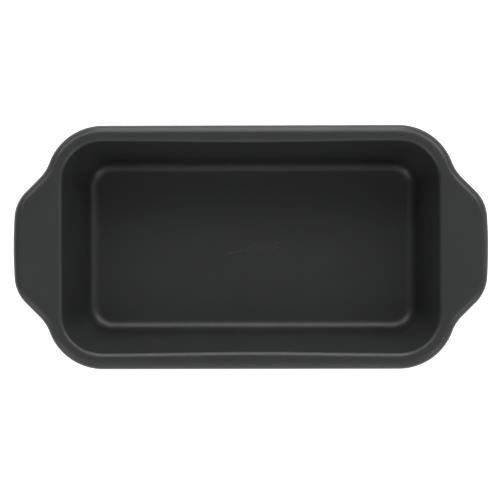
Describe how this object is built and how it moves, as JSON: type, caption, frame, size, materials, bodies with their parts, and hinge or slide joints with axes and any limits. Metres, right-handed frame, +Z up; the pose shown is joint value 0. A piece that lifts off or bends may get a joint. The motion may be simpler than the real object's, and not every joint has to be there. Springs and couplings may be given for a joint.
{
  "type": "loaf pan",
  "caption": "Rectangular loaf pan with sloping walls, a wire-rolled rim and a flat flange that widens into a wing handle at each end.",
  "frame": {"origin": "middle of the underside, on the surface that the pan stands on", "axes": "+X along the pan's length, through the two handles; +Y across it; +Z up, out of the mouth"},
  "size_m": [0.295, 0.1516, 0.07],
  "materials": {
    "coated_sheet": "charcoal non-stick coating baked on steel sheet, satin with a fine texture",
    "wire": "bare drawn steel wire"
  },
  "bodies": {
    "root": {"pan_shell": "coated_sheet", "rim_wire": "wire"}
  },
  "joints": []
}
